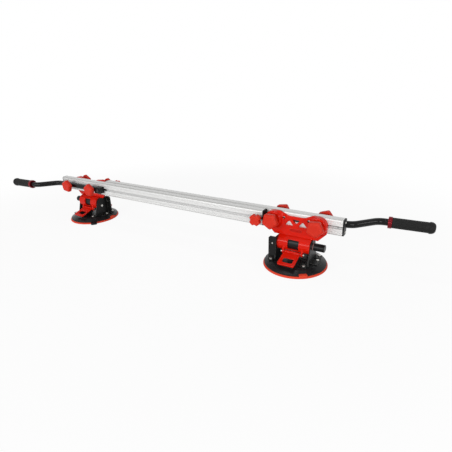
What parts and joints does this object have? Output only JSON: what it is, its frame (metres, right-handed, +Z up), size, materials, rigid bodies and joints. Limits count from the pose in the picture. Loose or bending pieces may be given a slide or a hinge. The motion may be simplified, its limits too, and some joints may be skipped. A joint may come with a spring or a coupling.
{
  "type": "large tile carrying frame",
  "caption": "Telescoping carrying frame for large tiles: sliding slotted bars with bent handles, clamped carriages and pumped suction cups.",
  "frame": {"origin": "on the floor under the middle of the frame", "axes": "+X along the bars, +Y to the back, +Z up"},
  "size_m": [1.6548, 0.267, 0.17],
  "materials": {
    "aluminium_bar": "satin anodised",
    "black_tube": "satin black powder coat",
    "black_rubber": "matt",
    "black_plastic": "satin",
    "black_steel": "satin black paint",
    "red_paint": "gloss",
    "red_plastic": "gloss",
    "red_rubber": "satin",
    "red_ring": "red anodised",
    "steel": "zinc plated"
  },
  "bodies": {
    "left_frame": {"bar_left": "aluminium_bar", "handle_tube_left": "black_tube", "handle_grip_left": "black_rubber", "bar_end_cap_left": "black_plastic", "bar_inner_cap_left": "black_plastic", "tube_end_block_left": "black_plastic", "slide_lock_collar_left": "black_plastic", "cup_plate_left": "black_plastic", "pump_barrel_left": "black_plastic", "pump_bracket_near_left": "black_steel", "pump_bracket_far_left": "black_steel", "carriage_left": "red_paint", "cup_pad_left": "red_rubber", "grip_ring_left": "red_ring", "tube_block_screw_left": "steel", "clamp_studs_left": "steel", "clamp_washers_left": "steel", "slide_lock_stud_left": "steel", "return_spring_left": "steel", "bracket_screws_left": "steel", "latch_pins_left": "steel"},
    "right_frame": {"bar_right": "aluminium_bar", "handle_tube_right": "black_tube", "handle_grip_right": "black_rubber", "bar_end_cap_right": "black_plastic", "bar_inner_cap_right": "black_plastic", "tube_end_block_right": "black_plastic", "slide_lock_collar_right": "black_plastic", "cup_plate_right": "black_plastic", "pump_barrel_right": "black_plastic", "pump_bracket_near_right": "black_steel", "pump_bracket_far_right": "black_steel", "carriage_right": "red_paint", "cup_pad_right": "red_rubber", "grip_ring_right": "red_ring", "tube_block_screw_right": "steel", "clamp_studs_right": "steel", "clamp_washers_right": "steel", "slide_lock_stud_right": "steel", "return_spring_right": "steel", "bracket_screws_right": "steel", "latch_pins_right": "steel"},
    "inner_knob_near_left": {"inner_knob_near_left": "red_plastic"},
    "inner_knob_far_left": {"inner_knob_far_left": "red_plastic"},
    "outer_knob_near_left": {"outer_knob_near_left": "red_plastic"},
    "outer_knob_far_left": {"outer_knob_far_left": "red_plastic"},
    "slide_lock_knob_left": {"slide_lock_knob_left": "red_plastic"},
    "pump_plunger_left": {"pump_plunger_left": "black_plastic", "piston_seal_left": "black_rubber"},
    "latch_lever_inner_left": {"latch_lever_inner_left": "red_paint"},
    "latch_lever_outer_left": {"latch_lever_outer_left": "red_paint"},
    "inner_knob_near_right": {"inner_knob_near_right": "red_plastic"},
    "inner_knob_far_right": {"inner_knob_far_right": "red_plastic"},
    "outer_knob_near_right": {"outer_knob_near_right": "red_plastic"},
    "outer_knob_far_right": {"outer_knob_far_right": "red_plastic"},
    "slide_lock_knob_right": {"slide_lock_knob_right": "red_plastic"},
    "pump_plunger_right": {"pump_plunger_right": "black_plastic", "piston_seal_right": "black_rubber"},
    "latch_lever_inner_right": {"latch_lever_inner_right": "red_paint"},
    "latch_lever_outer_right": {"latch_lever_outer_right": "red_paint"}
  },
  "joints": [
    {"name": "bar_slide", "type": "slide", "parent": "left_frame", "child": "right_frame", "axis": [1, 0, 0], "range_m": [0, 0.56]},
    {"name": "inner_knob_near_left_turn", "type": "hinge", "parent": "left_frame", "child": "inner_knob_near_left", "pos_m": [-0.398, 0, 0.144], "axis": [0, 1, 0], "range_deg": [0, 1080]},
    {"name": "inner_knob_far_left_turn", "type": "hinge", "parent": "left_frame", "child": "inner_knob_far_left", "pos_m": [-0.538, 0, 0.144], "axis": [0, 1, 0], "range_deg": [0, 1080]},
    {"name": "outer_knob_near_left_turn", "type": "hinge", "parent": "left_frame", "child": "outer_knob_near_left", "pos_m": [-0.398, 0, 0.144], "axis": [0, -1, 0], "range_deg": [0, 1080]},
    {"name": "outer_knob_far_left_turn", "type": "hinge", "parent": "left_frame", "child": "outer_knob_far_left", "pos_m": [-0.538, 0, 0.144], "axis": [0, -1, 0], "range_deg": [0, 1080]},
    {"name": "slide_lock_knob_left_turn", "type": "hinge", "parent": "left_frame", "child": "slide_lock_knob_left", "pos_m": [0.354, 0, 0.144], "axis": [0, -1, 0], "range_deg": [0, 1080]},
    {"name": "pump_plunger_left_push", "type": "slide", "parent": "left_frame", "child": "pump_plunger_left", "axis": [1, 0, 0], "range_m": [0, 0.022], "stiffness_N_per_m": 300, "springref_m": -0.01, "deforming": ["return_spring_left"]},
    {"name": "latch_lever_inner_left_lift", "type": "hinge", "parent": "left_frame", "child": "latch_lever_inner_left", "pos_m": [-0.468, 0.0225, 0.046], "axis": [1, 0, 0], "range_deg": [0, 50]},
    {"name": "latch_lever_outer_left_lift", "type": "hinge", "parent": "left_frame", "child": "latch_lever_outer_left", "pos_m": [-0.468, -0.0255, 0.046], "axis": [-1, 0, 0], "range_deg": [0, 50]},
    {"name": "inner_knob_near_right_turn", "type": "hinge", "parent": "right_frame", "child": "inner_knob_near_right", "pos_m": [0.398, 0, 0.144], "axis": [0, -1, 0], "range_deg": [0, 1080]},
    {"name": "inner_knob_far_right_turn", "type": "hinge", "parent": "right_frame", "child": "inner_knob_far_right", "pos_m": [0.538, 0, 0.144], "axis": [0, -1, 0], "range_deg": [0, 1080]},
    {"name": "outer_knob_near_right_turn", "type": "hinge", "parent": "right_frame", "child": "outer_knob_near_right", "pos_m": [0.398, 0, 0.144], "axis": [0, 1, 0], "range_deg": [0, 1080]},
    {"name": "outer_knob_far_right_turn", "type": "hinge", "parent": "right_frame", "child": "outer_knob_far_right", "pos_m": [0.538, 0, 0.144], "axis": [0, 1, 0], "range_deg": [0, 1080]},
    {"name": "slide_lock_knob_right_turn", "type": "hinge", "parent": "right_frame", "child": "slide_lock_knob_right", "pos_m": [-0.354, 0, 0.144], "axis": [0, 1, 0], "range_deg": [0, 1080]},
    {"name": "pump_plunger_right_push", "type": "slide", "parent": "right_frame", "child": "pump_plunger_right", "axis": [-1, 0, 0], "range_m": [0, 0.022], "stiffness_N_per_m": 300, "springref_m": -0.01, "deforming": ["return_spring_right"]},
    {"name": "latch_lever_inner_right_lift", "type": "hinge", "parent": "right_frame", "child": "latch_lever_inner_right", "pos_m": [0.468, -0.0225, 0.046], "axis": [-1, 0, 0], "range_deg": [0, 50]},
    {"name": "latch_lever_outer_right_lift", "type": "hinge", "parent": "right_frame", "child": "latch_lever_outer_right", "pos_m": [0.468, 0.0255, 0.046], "axis": [1, 0, 0], "range_deg": [0, 50]}
  ]
}
